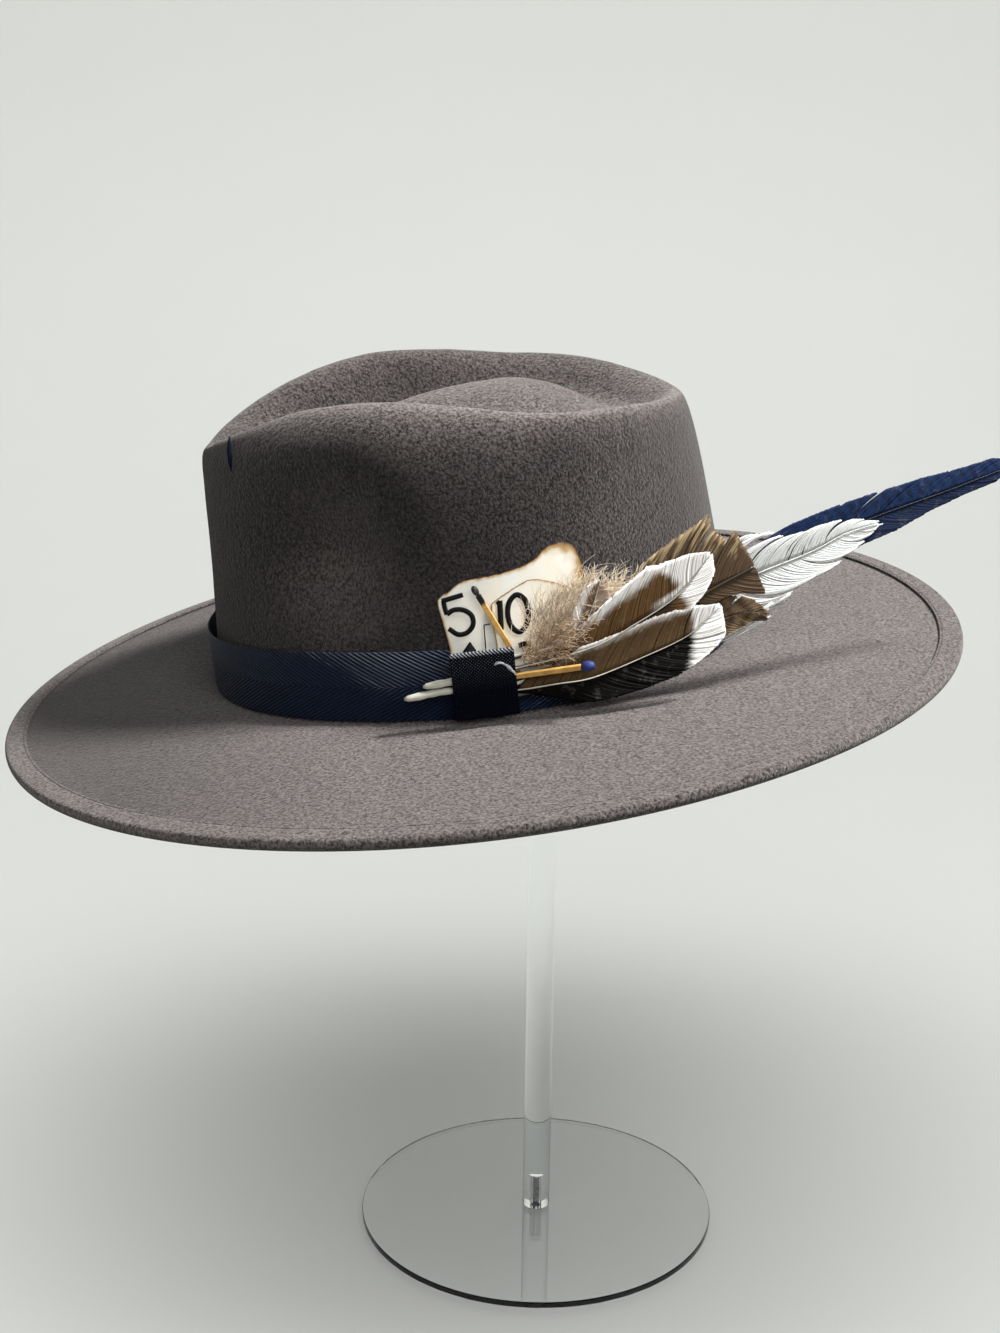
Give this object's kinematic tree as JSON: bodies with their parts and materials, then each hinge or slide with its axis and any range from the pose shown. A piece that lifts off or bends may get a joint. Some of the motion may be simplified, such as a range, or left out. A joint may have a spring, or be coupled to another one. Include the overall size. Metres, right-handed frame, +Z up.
{
  "type": "rancher hat on display stand",
  "caption": "Felt rancher hat with teardrop crown, wide brim and a ribbon band trimmed with cards, matches and feathers, resting on a clear post stand.",
  "frame": {"origin": "middle of the underside of the stand's round base, on the axis of its rod", "axes": "+Z up along the rod, -Y towards the front of the hat, +X towards the wearer's left, the side with the trimmings"},
  "size_m": [0.3498, 0.3852, 0.3651],
  "materials": {
    "felt": "warm grey brushed felt with a short suede nap",
    "felt_binding": "same felt folded over the brim's edge and stitched",
    "ribbon": "navy herringbone ribbon with a soft sheen",
    "webbing": "navy basket weave webbing",
    "card": "aged pale card with burnt edges and plain black numbers",
    "match_wood": "pale straight grained match wood",
    "match_char": "burnt black match head",
    "match_tip": "blue match head",
    "down": "loose beige and brown down",
    "feather_blue": "blue vane with dark bars and a black shaft",
    "feather_white": "white vane with split barbs",
    "feather_brown": "mottled brown vane",
    "feather_tipped": "brown vane with a white edge and tip",
    "clear_acrylic": "clear polished acrylic",
    "steel": "plain steel stud"
  },
  "bodies": {
    "root": {"felt_body": "felt", "brim_binding": "felt_binding", "hat_band": "ribbon", "band_keeper": "webbing", "card_back": "card", "card_front": "card", "match_burnt_stick": "match_wood", "match_burnt_head": "match_char", "match_blue_stick": "match_wood", "match_blue_head": "match_tip", "feather_down": "down", "feather_blue": "feather_blue", "feather_white": "feather_white", "feather_notched_lower": "feather_brown", "feather_notched_upper": "feather_brown", "feather_small_brown": "feather_brown", "feather_tipped_upper": "feather_tipped", "feather_tipped_lower": "feather_tipped", "stand_base": "clear_acrylic", "stand_rod": "clear_acrylic", "stand_top": "clear_acrylic", "stand_stud": "steel"}
  },
  "joints": []
}
